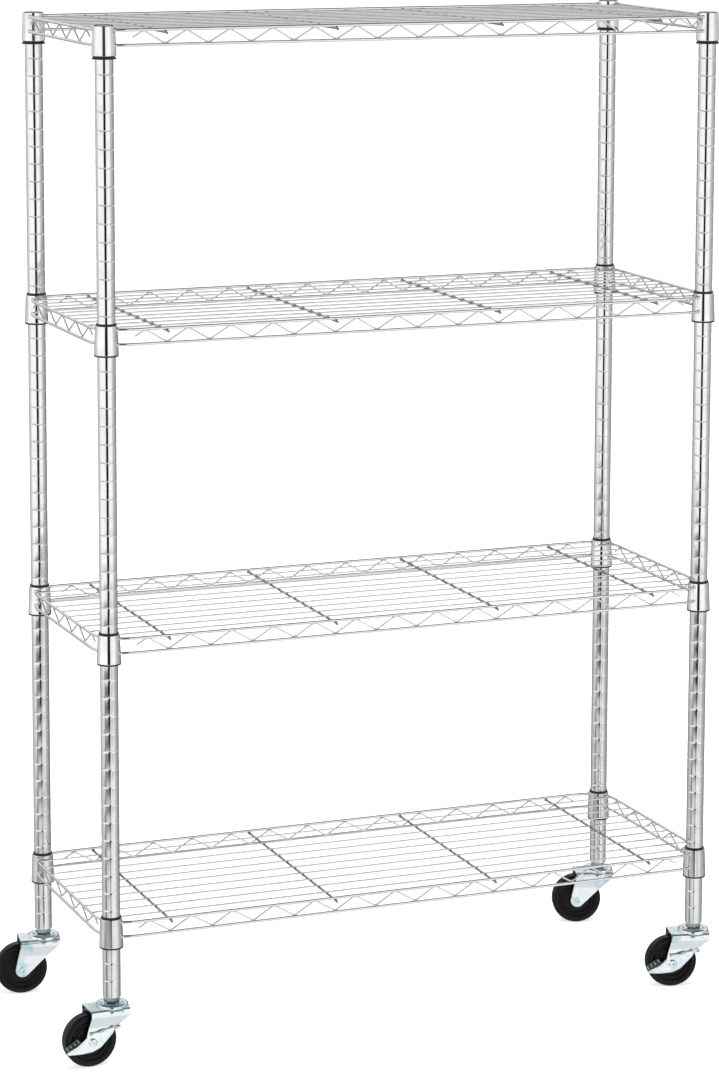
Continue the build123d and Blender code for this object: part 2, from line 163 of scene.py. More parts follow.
def pipe(path, radius, flatNormal, sides=12, endRounding=0.35):
    # circle carried along a path that lies in one plane: centre + radius (cos a * side + sin a * plane normal)
    path = np.asarray(path, float)
    tangent = np.gradient(path, axis=0)
    tangent /= np.linalg.norm(tangent, axis=1, keepdims=True)
    tip = np.min(radius) * endRounding
    path = np.concatenate([path[:1], path[:1] + tangent[:1] * tip, path[1:-1], path[-1:] - tangent[-1:] * tip,
                           path[-1:]])
    tangent = np.concatenate([tangent[:1], tangent, tangent[-1:]])
    size = np.full(len(path), radius) if np.isscalar(radius) else np.concatenate([radius[:1], radius, radius[-1:]])
    size[[0, -1]] -= tip
    normal = np.array(flatNormal, float)
    side = np.cross(normal, tangent)
    angle = np.arange(sides) * 2 * np.pi / sides
    ring = side[:, None] * np.cos(angle)[None, :, None] + normal * np.sin(angle)[None, :, None]
    return flipped(gridShape(path[:, None] + size[:, None, None] * ring, capEnds=True))


def bead(centre, radii, sides=12, rings=7):
    # ellipsoid: latitude by longitude, its two ends closed by small flat faces
    latitude = np.linspace(-0.46, 0.46, rings) * np.pi
    longitude = np.arange(sides) * 2 * np.pi / sides
    points = np.stack([np.cos(latitude)[:, None] * np.cos(longitude), np.cos(latitude)[:, None] * np.sin(longitude),
                       np.repeat(np.sin(latitude)[:, None], sides, 1)], -1)
    return gridShape(points * np.array(radii) + np.array(centre), capEnds=True)


def slab(outline, near, far, edge, steps=3):
    # flat outline in X and Z given a thickness along -Y, its two rims rounded by shrinking towards the inside
    outline = np.asarray(outline, float)
    ahead = np.roll(outline, -1, 0) - np.roll(outline, 1, 0)
    inward = np.stack([-ahead[:, 1], ahead[:, 0]], 1)
    inward /= np.linalg.norm(inward, axis=1, keepdims=True)
    turn = np.linspace(0, np.pi / 2, steps)
    inset = np.concatenate([edge * (1 - np.sin(turn)), edge * (1 - np.cos(turn))])
    depth = np.concatenate([near + edge * (1 - np.cos(turn)), far - edge * (1 - np.sin(turn))])
    flat = outline[None] + inward[None] * inset[:, None, None]
    points = np.stack([flat[..., 0], np.repeat(-depth[:, None], len(outline), 1), flat[..., 1]], -1)
    return flipped(gridShape(points, capEnds=True))


# Materials

def newMaterial(name):
    material = bpy.data.materials.new(name)
    material.use_nodes = True
    nodes = material.node_tree.nodes
    return material, nodes, material.node_tree.links, nodes["Principled BSDF"]


def noiseOf(nodes, links, scale, detail=3.0, stretch=(1, 1, 1), roughness=0.55):
    place = nodes.new("ShaderNodeTexCoord")
    mapping = nodes.new("ShaderNodeMapping")
    mapping.inputs["Scale"].default_value = stretch
    noise = nodes.new("ShaderNodeTexNoise")
    noise.inputs["Scale"].default_value = scale
    noise.inputs["Detail"].default_value = detail
    noise.inputs["Roughness"].default_value = roughness
    links.new(place.outputs["Object"], mapping.inputs["Vector"])
    links.new(mapping.outputs["Vector"], noise.inputs["Vector"])
    return noise.outputs["Fac"]


def spread(nodes, links, value, low, high, fromLow=0.35, fromHigh=0.65):
    ramp = nodes.new("ShaderNodeMapRange")
    ramp.inputs["From Min"].default_value = fromLow
    ramp.inputs["From Max"].default_value = fromHigh
    ramp.inputs["To Min"].default_value = low
    ramp.inputs["To Max"].default_value = high
    links.new(value, ramp.inputs["Value"])
    return ramp.outputs["Result"]


def colourRamp(nodes, links, value, stops):
    ramp = nodes.new("ShaderNodeValToRGB")
    while len(ramp.color_ramp.elements) < len(stops):
        ramp.color_ramp.elements.new(0.5)
    for element, (place, colour) in zip(ramp.color_ramp.elements, stops):
        element.position = place
        element.color = (*colour, 1)
    links.new(value, ramp.inputs["Fac"])
    return ramp.outputs["Color"]


def addBump(nodes, links, shader, height, strength, distance, before=None):
    bump = nodes.new("ShaderNodeBump")
    bump.inputs["Strength"].default_value = strength
    bump.inputs["Distance"].default_value = distance
    links.new(height, bump.inputs["Height"])
    if before is not None:
        links.new(before, bump.inputs["Normal"])
    links.new(bump.outputs["Normal"], shader.inputs["Normal"])
    return bump.outputs["Normal"]


chromeLook = {"bright": (0.86, 0.86, 0.87), "clouded": (0.76, 0.765, 0.775), "roughLow": 0.035, "roughHigh": 0.11,
              "cloudScale": 55.0, "waveScale": 26.0, "waveStretch": (1, 1, 0.35)}


def chrome(name, wave=0.12, grain=0.1, bright=chromeLook["bright"], clouded=chromeLook["clouded"], rougher=0.0):
    # plated steel: faint clouds in the plate, slow waves from the tube or wire under it, very fine draw marks
    material, nodes, links, shader = newMaterial(name)
    shader.inputs["Metallic"].default_value = 1.0
    clouds = noiseOf(nodes, links, chromeLook["cloudScale"], 4.0)
    colour = colourRamp(nodes, links, clouds, [(0.3, clouded), (0.62, bright)])
    links.new(colour, shader.inputs["Base Color"])
    rough = spread(nodes, links, clouds, chromeLook["roughHigh"] + rougher, chromeLook["roughLow"] + rougher)
    links.new(rough, shader.inputs["Roughness"])
    waves = noiseOf(nodes, links, chromeLook["waveScale"], 1.5, chromeLook["waveStretch"])
    normal = addBump(nodes, links, shader, waves, wave, 0.0015)
    marks = noiseOf(nodes, links, 900.0, 2.0, (1, 1, 0.06))
    addBump(nodes, links, shader, marks, grain, 0.00004, normal)
    return material


zincLook = {"blue": (0.46, 0.69, 0.77), "pale": (0.88, 0.95, 0.96), "straw": (0.86, 0.90, 0.86),
            "film": ((0.30, "blue"), (0.46, "pale"), (0.62, "pale"), (0.74, "straw"))}


def zinc(name, depth=1.0):
    # bright zinc under a passivation film: pale blue drifting to straw, with a soft pressed-sheet unevenness; a depth
    # under 1 darkens the whole film, which is painted shade
    material, nodes, links, shader = newMaterial(name)
    shader.inputs["Metallic"].default_value = 1.0
    film = noiseOf(nodes, links, 30.0, 2.0)
    stops = [(place, [part * depth for part in zincLook[tone]]) for place, tone in zincLook["film"]]
    links.new(colourRamp(nodes, links, film, stops), shader.inputs["Base Color"])
    grime = noiseOf(nodes, links, 160.0, 4.0)
    links.new(spread(nodes, links, grime, 0.12, 0.24), shader.inputs["Roughness"])
    press = noiseOf(nodes, links, 55.0, 1.5)
    normal = addBump(nodes, links, shader, press, 0.42, 0.0006)
    addBump(nodes, links, shader, noiseOf(nodes, links, 1400.0, 2.0), 0.08, 0.00004, normal)
    return material


def moulded(name, dark, light, roughLow, roughHigh, scale, bumpDepth, sheen=0.5):
    # moulded black: fine pitted skin, worn a little lighter in patches
    material, nodes, links, shader = newMaterial(name)
    patches = noiseOf(nodes, links, scale, 5.0, roughness=0.65)
    links.new(colourRamp(nodes, links, patches, [(0.38, dark), (0.72, light)]), shader.inputs["Base Color"])
    shader.inputs["Specular IOR Level"].default_value = sheen
    links.new(spread(nodes, links, patches, roughLow, roughHigh), shader.inputs["Roughness"])
    normal = addBump(nodes, links, shader, noiseOf(nodes, links, 700.0, 3.0), 0.25, bumpDepth)
    addBump(nodes, links, shader, patches, 0.15, 0.0004, normal)
    return material


def turnedSteel(name, colour, darker):
    # plain steel with turning lines round the part
    material, nodes, links, shader = newMaterial(name)
    shader.inputs["Metallic"].default_value = 1.0
    lines = noiseOf(nodes, links, 500.0, 2.0, (0.15, 0.15, 1))
    links.new(colourRamp(nodes, links, lines, [(0.35, darker), (0.65, colour)]), shader.inputs["Base Color"])
    links.new(spread(nodes, links, lines, 0.22, 0.4), shader.inputs["Roughness"])
    addBump(nodes, links, shader, lines, 0.2, 0.0001)
    return material


postChrome = chrome("post chrome", wave=0.16)
lowerPostChrome = chrome("lower post chrome", wave=0.5, bright=(0.86, 0.86, 0.87), rougher=0.03)
collarChrome = chrome("collar chrome", wave=0.06, grain=0.05, bright=(0.90, 0.90, 0.91))
wireChrome = chrome("wire chrome", wave=0.05, grain=0.15, bright=(0.84, 0.84, 0.85), rougher=0.03)
# the cross ribs get a much darker copy of the wire chrome: painted shade for the ribs under the deck
ribChromePaintedShade = chrome("rib chrome painted in shade", wave=0.05, grain=0.15, bright=(0.42, 0.42, 0.43), clouded=(0.30, 0.30, 0.31))
zincPlate = zinc("blue zinc plate")
# zinc at half brightness for the stem and nut: painted shadow of the recess under the post
zincNutPaintedShade = zinc("zinc plate painted in shade", 0.5)
# darker zinc for the lever bead: painted shade and dark reflection along its rolled edge
zincBeadPaintedShade = zinc("zinc bead painted in shade", 0.55)
# the zinc brake grip is painted near black: painted shade, standing for the dark reflection in its face
gripPaintedShade = moulded("grip painted dark as shade", (0.02, 0.022, 0.024), (0.06, 0.065, 0.07), 0.25, 0.45, 140.0, 0.00005)
sleeveBlack = moulded("sleeve black", (0.003, 0.003, 0.003), (0.010, 0.010, 0.011), 0.35, 0.55, 120.0, 0.00005)
capGrey = moulded("cap grey", (0.30, 0.30, 0.31), (0.42, 0.42, 0.43), 0.35, 0.55, 120.0, 0.00005)
wheelBlack = moulded("wheel rubber", (0.002, 0.0017, 0.0016), (0.007, 0.006, 0.0055), 0.26, 0.44, 60.0, 0.00012,
                     sheen=0.22)
innerSteel = turnedSteel("turned steel", (0.55, 0.55, 0.56), (0.36, 0.36, 0.37))
ballSteel = turnedSteel("ball steel", (0.62, 0.62, 0.64), (0.5, 0.5, 0.52))
print("materials made")


# Making a piece out of a shape

def makePiece(name, shape, material, body, nodes=(), sharp=38):
    points, faces = shape
    mesh = bpy.data.meshes.new(name)
    mesh.from_pydata(points.tolist(), [], faces)
    mesh.validate()
    mesh.polygons.foreach_set("use_smooth", np.ones(len(mesh.polygons), bool))
    mesh.set_sharp_from_angle(angle=math.radians(sharp))
    mesh.materials.append(material)
    piece = bpy.data.objects.new(name, mesh)
    bpy.context.scene.collection.objects.link(piece)
    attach(piece, body)
    if nodes:
        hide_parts(*nodes)
    return piece


def finish(piece, thickness=0.0, bevel=0.0, segments=2, angle=40):
    if thickness:
        solid = piece.modifiers.new("thickness", "SOLIDIFY")
        solid.thickness = thickness
        solid.offset = -1
    if bevel:
        edges = piece.modifiers.new("edges", "BEVEL")
        edges.width = bevel
        edges.segments = segments
        edges.limit_method = "ANGLE"
        edges.angle_limit = math.radians(angle)


# Posts

post = {"wall": 1.2 * mm, "groovePitch": 25.4 * mm, "grooveHalfWidth": 0.75 * mm, "grooveDepth": 0.5 * mm,
        "edge": 0.5 * mm, "sides": 64, "markHeight": 28.5 * mm, "markRadius": 1.7 * mm}
postRadius = (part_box("post_lower_front_left")[1].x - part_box("post_lower_front_left")[0].x) / 2


def postTube(bottom, top):
    # radius = R - depth * exp(-(distance to the nearest groove / half width)^2), and grooves stand a pitch apart
    numbers = np.arange(1, round((postTop - postFoot) / post["groovePitch"]))
    centres = postFoot + numbers * post["groovePitch"]
    centres = centres[(centres > bottom + 5 * mm) & (centres < top - 5 * mm)]
    steps = np.array([-2.6, -1.7, -1.2, -0.8, -0.4, 0, 0.4, 0.8, 1.2, 1.7, 2.6]) * post["grooveHalfWidth"]
    heights = (centres[:, None] + steps).ravel()
    fromGroove = np.repeat(steps[None], len(centres), 0).ravel()
    radii = postRadius - post["grooveDepth"] * np.exp(-(fromGroove / post["grooveHalfWidth"]) ** 2)
    edge = post["edge"]
    bore = postRadius - post["wall"]
    rim = np.array([[edge, 0], [0.3 * edge, 0.3 * edge], [0, edge], [0, 2 * edge]])
    outer = np.concatenate([np.column_stack([postRadius - rim[:, 0], bottom + rim[:, 1]]),
                            np.column_stack([radii, heights]),
                            np.column_stack([postRadius - rim[:, 0], top - rim[:, 1]])[::-1]])
    inner = np.array([[bore, top], [bore, bottom]])
    return lathe(np.concatenate([outer, inner]), post["sides"], hollow=True)


def crimpMark(height, facing):
    # shallow dished disc wrapped on the tube: depth falls from a raised rim to a sunk middle
    share = np.array([0.12, 0.35, 0.55, 0.72, 0.86, 1.0])
    lift = np.array([-0.05, -0.02, 0.10, 0.16, 0.10, -0.04]) * mm
    angle = np.arange(20) * 2 * np.pi / 20
    across = share[:, None] * post["markRadius"] * np.cos(angle)
    up = share[:, None] * post["markRadius"] * np.sin(angle)
    turn = facing + across / postRadius
    radius = postRadius + lift[:, None] + 0 * across
    points = np.stack([radius * np.cos(turn), radius * np.sin(turn), height + up], -1)
    return gridShape(points, capEnds=True)


lowerTube = postTube(postFoot, postJoin)
upperTube = postTube(postJoin, postTop)
for corner in cornerNames:
    x, y = postPlaces[corner]
    marks = [crimpMark(postFoot + post["markHeight"], math.radians(turn)) for turn in (-112, 68)]
    makePiece("post_lower_tube_" + corner, shifted(joined([lowerTube, *marks]), x, y), lowerPostChrome, "frame",
              ["post_lower_" + corner])
    makePiece("post_upper_tube_" + corner, shifted(upperTube, x, y), postChrome, "frame",
              ["post_upper_" + corner])

cap = {"edge": 0.9 * mm, "dish": 0.35 * mm, "sides": 48}
capLow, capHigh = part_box("post_caps")
capRadius = postRadius - post["wall"]
capProfile = rounded([(0.001, capLow.z), (capRadius, capLow.z), (capRadius, capHigh.z), (capRadius * 0.8, capHigh.z),
                      (capRadius * 0.7, capHigh.z - cap["dish"]), (0.001, capHigh.z - cap["dish"])], cap["edge"])
makePiece("post_end_caps", joined(shifted(lathe(capProfile, cap["sides"]), x, y) for x, y in postPlaces.values()),
          capGrey, "frame", ["post_caps"])
print("posts made")


# Sleeves: two tapered halves clipped round the post

sleeve = {"seam": 0.35 * mm, "edge": 0.6 * mm, "boreEdge": 0.1 * mm, "clearance": 0.02 * mm, "sides": 40,
          "seamAngle": 45.0, "bottomRadius": 15.3 * mm, "topRadius": 14.0 * mm, "lipRadius": 17.0 * mm,
          "lipHeight": 1.4 * mm, "lipDrop": 0.6 * mm}


def sleeveHalves(node):
    low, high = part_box(node)
    bottomRadius, bore = sleeve["bottomRadius"], postRadius + sleeve["clearance"]
    lip, lipTop = sleeve["lipRadius"], low.z + sleeve["lipHeight"]
    foot = low.z - sleeve["lipDrop"]
    edge, boreEdge = sleeve["edge"], sleeve["boreEdge"]
    profile = rounded([(bore, foot), (lip, foot), (lip, lipTop), (bottomRadius, lipTop),
                       (sleeve["topRadius"], high.z), (bore, high.z)],
                      [boreEdge, edge, edge, boreEdge, edge, boreEdge], closed=True)
    gap = sleeve["seam"] / bottomRadius
    start = math.radians(sleeve["seamAngle"])
    arcs = [(start + half * np.pi + gap, start + (half + 1) * np.pi - gap) for half in (0, 1)]
    return [lathe(profile, sleeve["sides"], hollow=True, arc=arc) for arc in arcs]


for shelf in shelfNames:
    halves = joined(sleeveHalves("sleeves_" + shelf))
    makePiece("split_sleeves_" + shelf, joined(shifted(halves, x, y) for x, y in postPlaces.values()), sleeveBlack,
              "frame", ["sleeves_" + shelf])
print("sleeves made")


# Shelves

wires = {"rail": 2.1 * mm, "railOffset": 14.5 * mm, "railBend": 30.0 * mm, "railCorner": 9.0 * mm,
         "truss": 1.25 * mm, "trussPitch": 62.25 * mm, "trussBend": 0.976, "longPeaks": 14, "shortPeaks": 5,
         "deck": 1.2 * mm, "deckCount": 10, "deckNear": 10.2 * mm, "deckTurn": 12.6 * mm, "deckShort": 1.6 * mm,
         "rib": 1.9 * mm, "ribPitches": (-6, -2, 2, 6), "ribTail": 6.0 * mm, "ribCorner": 2.6 * mm}
collar = {"topRadius": 15.4 * mm, "bottomRadius": 17.0 * mm, "topEdge": 1.5 * mm, "bottomEdge": 0.9 * mm,
          "topBore": 14.25 * mm, "bottomBore": 15.35 * mm, "boreEdges": (0.3 * mm, 0.2 * mm), "sides": 64,
          "railAngle": 51.0, "weldRadii": (3.1 * mm, 2.2 * mm, 2.7 * mm), "weldPast": 0.8 * mm, "weldOut": 0.4 * mm}


def collarShape(low, high):
    # the outside tapers, its upper shoulder is rounded over and its lower lip is turned
    edges = [collar["boreEdges"][0], collar["bottomEdge"], collar["topEdge"], collar["boreEdges"][1]]
    profile = rounded([(collar["bottomBore"], low), (collar["bottomRadius"], low), (collar["topRadius"], high),
                       (collar["topBore"], high)], edges, 6, True)
    return lathe(profile, collar["sides"], hollow=True)


def railEnd(height, low, high):
    # where a rail at this height meets the tapered collar, along the rail and out from the post
    share = (height - low) / (high - low)
    radius = collar["bottomRadius"] + (collar["topRadius"] - collar["bottomRadius"]) * share
    angle = math.radians(collar["railAngle"])
    return radius * math.sin(angle), radius * math.cos(angle)


def railShape(halfRun, halfGap, height, low, high):
    # straight outside the posts, turning in to the collar over the last stretch at each end
    along, out = railEnd(height, low, high)
    corners = [(-halfRun + along, -halfGap - out), (-halfRun + wires["railBend"], -halfGap - wires["railOffset"]),
               (halfRun - wires["railBend"], -halfGap - wires["railOffset"]), (halfRun - along, -halfGap - out)]
    flat = rounded(corners, wires["railCorner"], 7)
    return pipe(np.column_stack([flat, np.full(len(flat), height)]), wires["rail"], (0, 0, 1), 16)


def weldBeads(halfRun, halfGap, height, low, high):
    along, out = railEnd(height, low, high)
    x, y = halfRun - along - collar["weldPast"], -halfGap - out - collar["weldOut"]
    return [bead((side * x, y, height), collar["weldRadii"]) for side in (-1, 1)]


def trussShape(peaks, y, low, high):
    # rounded zigzag: height = middle + amplitude * asin(k cos(phase)) / asin(k), with k a little under 1
    first = -(peaks - 1) / 2 * wires["trussPitch"]
    count = int((peaks - 0.5) * 36) + 1
    x = np.linspace(first - wires["trussPitch"] / 4, -first + wires["trussPitch"] / 4, count)
    wave = np.arcsin(wires["trussBend"] * np.cos((x - first) * 2 * np.pi / wires["trussPitch"]))
    z = (low + high) / 2 + (high - low) / 2 * wave / math.asin(wires["trussBend"])
    path = np.stack([x, np.full(count, y), z], 1)
    return pipe(path, wires["truss"], (0, -1, 0), 10)


def deckShapes(shelf):
    low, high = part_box("shelf_" + shelf + "_deck_wires")
    middle = (low.z + high.z) / 2
    span = halfDeep + wires["railOffset"]
    shapes = []
    for number in range(1, wires["deckCount"] + 1):
        y = span * (2 * number / (wires["deckCount"] + 1) - 1)
        # the outermost wires stop where the short rails turn in to the posts
        fromPost = halfDeep - abs(y)
        bent = min(1.0, (fromPost - wires["deckTurn"]) / (wires["railBend"] - wires["deckTurn"]))
        reach = halfLong + wires["deckNear"] + (wires["railOffset"] - wires["deckNear"]) * bent - wires["deckShort"]
        path = np.linspace((-reach, y, middle), (reach, y, middle), 9)
        shapes.append(pipe(path, wires["deck"], (0, 0, 1), 12))
    return shapes


def ribShapes(shelf):
    low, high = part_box("shelf_" + shelf + "_ribs")
    height, foot = high.z - wires["rib"], low.z + wires["rib"]
    end, bend = high.y, high.y - wires["ribTail"]
    flat = rounded([(-end, foot), (-bend, height), (bend, height), (end, foot)], wires["ribCorner"], 6)
    shapes = []
    for place in wires["ribPitches"]:
        path = np.column_stack([np.full(len(flat), place * wires["trussPitch"]), flat])
        shapes.append(pipe(path, wires["rib"], (1, 0, 0), 14))
    return shapes


def fourSides(long, short):
    # the long side at -Y and the short side at -X, and the same turned half round
    short = turnedAbout(short, "z", 90)
    return [long, turnedAbout(long, "z", 180), short, turnedAbout(short, "z", 180)]


for shelf in shelfNames:
    body = "shelf_" + shelf
    collarLow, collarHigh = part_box(body + "_collars")
    railLow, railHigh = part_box(body + "_rails")
    trussLow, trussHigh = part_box(body + "_trusses")
    low, high = collarLow.z, collarHigh.z
    ring = collarShape(low, high)
    makePiece(body + "_corner_collars", joined(shifted(ring, x, y) for x, y in postPlaces.values()), collarChrome,
              body, [body + "_collars"])
    rails = []
    welds = []
    for height in (railLow.z + wires["rail"], railHigh.z - wires["rail"]):
        rails += fourSides(railShape(halfLong, halfDeep, height, low, high),
                           railShape(halfDeep, halfLong, height, low, high))
        welds += fourSides(joined(weldBeads(halfLong, halfDeep, height, low, high)),
                           joined(weldBeads(halfDeep, halfLong, height, low, high)))
    makePiece(body + "_edge_rails", joined(rails), wireChrome, body, [body + "_rails"])
    makePiece(body + "_weld_beads", joined(welds), wireChrome, body)
    trussY = trussLow.y + wires["truss"]
    trussX = trussLow.x + wires["truss"]
    zLow, zHigh = trussLow.z + wires["truss"], trussHigh.z - wires["truss"]
    zigzags = fourSides(trussShape(wires["longPeaks"], trussY, zLow, zHigh),
                        trussShape(wires["shortPeaks"], trussX, zLow, zHigh))
    makePiece(body + "_zigzag_wires", joined(zigzags), wireChrome, body, [body + "_trusses"])
    makePiece(body + "_long_wires", joined(deckShapes(shelf)), wireChrome, body,
              [body + "_deck_wires"])
    # the ribs use the darkened chrome copy, which is painted shade
    makePiece(body + "_cross_ribs", joined(ribShapes(shelf)), ribChromePaintedShade, body, [body + "_ribs"])
print("shelves made")


# Casters, worked out trailing towards -X with the stem on the Z axis, then turned and moved to their posts

caster = {"trail": 34.0 * mm, "wheelRadius": 38.1 * mm, "crownTop": 81.8 * mm, "sheet": 2.2 * mm,
          "legHalf": 15.2 * mm, "topHalf": 20.5 * mm, "flareLow": 58.0 * mm, "flareHigh": 76.0 * mm,
          "eye": 10.5 * mm, "back": -37.0 * mm, "front": 20.0 * mm, "frontDepth": 7.0 * mm,
          "crownRadius": 25.0 * mm, "skirt": 4.2 * mm, "cupFloor": 4.4 * mm, "nutHalf": 9.5 * mm, "stem": 5.55 * mm}
axleX, axleZ = -caster["trail"], caster["wheelRadius"]


def tangentFoot(x, z, side):
    # where the straight edge from (x, z) touches the round eye: turn from the line of centres by acos(r / d)
    towards = math.atan2(z - axleZ, x - axleX)
    turn = math.acos(caster["eye"] / math.hypot(x - axleX, z - axleZ))
    angle = towards + side * turn
    return axleX + caster["eye"] * math.cos(angle), axleZ + caster["eye"] * math.sin(angle)


def legEdge(z, x, side):
    # straight from the crown down to the eye, then round it
    shoulder = caster["crownTop"] - caster["frontDepth"]
    footX, footZ = tangentFoot(x, shoulder, side)
    line = footX + (x - footX) * np.clip((z - footZ) / (shoulder - footZ), 0, 1)
    circle = axleX - side * np.sqrt(np.clip(caster["eye"] ** 2 - (z - axleZ) ** 2, 0, None))
    return np.where(z > footZ, line, circle)


def forkLegs():
    # channel section carried along X, each level running between the two edges of the leg
    low = axleZ - caster["eye"] * 0.998
    leg, top = -caster["legHalf"], -caster["topHalf"]
    half = [(leg, low), (leg, caster["flareLow"]), (top, caster["flareHigh"]), (top, caster["crownTop"]),
            (0, caster["crownTop"])]
    section = np.array(half + [(-y, z) for y, z in half[-2::-1]])
    section = rounded(section, [0, 5 * mm, 4 * mm, 3.4 * mm, 0, 3.4 * mm, 4 * mm, 5 * mm, 0], 7)
    reach = np.concatenate([[0], np.cumsum(np.linalg.norm(np.diff(section, axis=0), axis=1))])
    total = reach[-1]
    # levels are closest together at the round eyes, and every corner of the section has one
    share = np.linspace(0, 1, 40)
    eyePart = 0.5 - 0.5 * np.cos(np.linspace(0, np.pi / 2, 12))
    legLength = 2 * caster["eye"] / total
    share = np.unique(np.concatenate([eyePart * legLength * 2, share[(share > legLength) & (share < 1 - legLength)],
                                      1 - eyePart * legLength * 2, reach / total]).round(5))
    y = np.interp(share * total, reach, section[:, 0])
    z = np.interp(share * total, reach, section[:, 1])
    back = legEdge(z, caster["back"], 1)
    front = legEdge(z, caster["front"], -1)
    columns = 22
    x = back[:, None] + (front - back)[:, None] * np.linspace(0, 1, columns)
    points = np.stack([x, np.repeat(y[:, None], columns, 1), np.repeat(z[:, None], columns, 1)], -1)
    return flipped(gridShape(points, around=False))


def crownDish():
    # round plate of the crown with its skirt turned down
    top = caster["crownTop"] + 0.12 * mm
    outer = caster["crownRadius"]
    inner = outer - caster["sheet"]
    hole = caster["stem"] + 0.3 * mm
    profile = rounded([(hole, top), (outer, top), (outer, top - caster["skirt"]), (inner, top - caster["skirt"]),
                       (inner, top - 0.9 * caster["sheet"]), (hole, top - 0.9 * caster["sheet"])][::-1],
                      [0.1 * mm, 0.6 * mm, 0.5 * mm, 0.5 * mm, 2.2 * mm, 0.1 * mm], 6, True)
    return lathe(profile, 64, hollow=True)


def raceCup(low, high):
    # pressed cup: flat middle, rolled rim over the balls, short skirt
    floor = caster["crownTop"] + caster["cupFloor"]
    stem, under = caster["stem"], floor - 1.8 * mm
    outside = [(stem, floor), (12.0 * mm, floor), (15.6 * mm, high), (20.2 * mm, high), (23.0 * mm, high - 2.4 * mm),
               (23.0 * mm, low)]
    inside = [(21.2 * mm, low), (21.2 * mm, high - 3.4 * mm), (19.6 * mm, high - 1.3 * mm),
              (16.4 * mm, high - 1.3 * mm), (12.8 * mm, under), (stem, under)]
    edges = np.array([0.1, 2.4, 2.6, 2.4, 1.8, 0.5, 0.5, 1.5, 1.5, 1.5, 1.5, 0.1]) * mm
    return flipped(lathe(rounded(outside + inside, edges, 6, True), 64, hollow=True))


def stemAndNut(low, high, nutTop):
    # hexagon: radius = half width / cos(angle from the nearest flat's middle), cut by a cone at both faces
    nutLow = caster["crownTop"] + caster["cupFloor"]
    sides = 72
    angle = np.arange(sides) * 2 * np.pi / sides
    fromFlat = (angle + np.pi / 6) % (np.pi / 3) - np.pi / 6
    hexagon = caster["nutHalf"] / np.cos(fromFlat)
    levels = np.array([nutLow, nutLow + 0.7 * mm, nutLow + 1.5 * mm, nutTop - 1.5 * mm, nutTop - 0.7 * mm, nutTop])
    cone = np.array([10.0, 10.5, 11.2, 11.2, 10.5, 10.0]) * mm
    radius = np.minimum(hexagon[None], cone[:, None])
    nut = gridShape(np.stack([radius * np.cos(angle), radius * np.sin(angle),
                              np.repeat(levels[:, None], sides, 1)], -1), capEnds=True)
    head = caster["crownTop"] - caster["sheet"] - 0.2 * mm
    profile = rounded([(4 * mm, low), (6 * mm, low), (9 * mm, low + 2.4 * mm), (9 * mm, head), (caster["stem"], head),
                       (caster["stem"], high - 1 * mm), (4.6 * mm, high)], 0.8 * mm)
    return joined([nut, lathe(profile, 40)])


def wheelShape():
    # hub boss, web, stepped side with two raised rings, shoulder and tread as radius and half width, then mirrored
    side = np.array([(6.05, 12.6), (8.2, 12.6), (10.6, 12.2), (11.4, 7.6), (21.6, 7.0), (22.6, 8.8), (24.4, 8.8),
                     (25.2, 7.9), (27.6, 7.9), (28.6, 10.0), (30.6, 10.8), (34.4, 10.8), (36.9, 9.7), (38.1, 7.0),
                     (38.1, 0.35), (37.95, 0)]) * mm
    other = side[-2::-1] * np.array([1, -1])
    profile = rounded(np.concatenate([side, other]), 1.3 * mm, 4, True)
    return flipped(lathe(profile, 112, hollow=True))


def rivetShape(near, far):
    # dished heads at both ends of the axle
    shank, head, dome = 3.95 * mm, 6.4 * mm, 2.6 * mm
    end = [(1.0 * mm, dome - 1.1 * mm), (1.7 * mm, dome - 0.4 * mm), (2.8 * mm, dome), (4.4 * mm, dome),
           (head, dome * 0.35), (head, 0)]
    top = [(radius, far + rise) for radius, rise in end]
    bottom = [(radius, -near - rise) for radius, rise in end]
    profile = rounded(bottom + [(shank, -near), (shank, far)] + top[::-1], 0.6 * mm, 4)
    return lathe(profile, 40)


lever = {"outline": ((-38, -14), (-18, -15), (0, -13.6), (12, -8), (30, 10.5), (33, 17), (31, 21.5), (14, 16.5),
                     (-5, 13.5), (-9, 8), (-23, -3.6), (-38, -10.2)),
         "near": 15.55 * mm, "far": 17.35 * mm, "edge": 0.45 * mm, "half": 0.9 * mm, "gripStart": (-37.5, -10.6),
         "gripEnd": (-16.5, 2.2), "gripWidth": 8.0 * mm, "gripLean": 32.0, "ridges": 4, "ridge": 0.6 * mm,
         "bead": 2.8 * mm, "beadLine": ((-5, 13.0), (2, 14.4), (13, 16.2), (22, 18.0), (30, 20.8)),
         "tabPlace": (29.5 * mm, 18.2 * mm), "tabTurn": 22.0, "tabTilt": 8.0}


def leverPlate():
    # side plate with the toe tab turned out at its front
    outline = rounded(np.array(lever["outline"])[::-1] * mm, 3.2 * mm, 6, True)
    plate = slab(outline[::-1], lever["near"], lever["far"], lever["edge"])
    tabFace = rounded([(-1.5 * mm, -3.2 * mm), (9.5 * mm, -3.2 * mm), (13 * mm, 0), (9.5 * mm, 3.2 * mm),
                       (-1.5 * mm, 3.2 * mm)], [0.5 * mm, 3 * mm, 3 * mm, 3 * mm, 0.5 * mm], 6, True)
    tab = slab(tabFace, -lever["half"], lever["half"], lever["edge"])
    tab = turnedAbout(turnedAbout(tab, "z", -lever["tabTurn"]), "y", -lever["tabTilt"])
    tab = shifted(tab, lever["tabPlace"][0], -(lever["near"] + lever["far"]) / 2, lever["tabPlace"][1])
    return shifted(joined([plate, tab]), axleX, 0, axleZ)


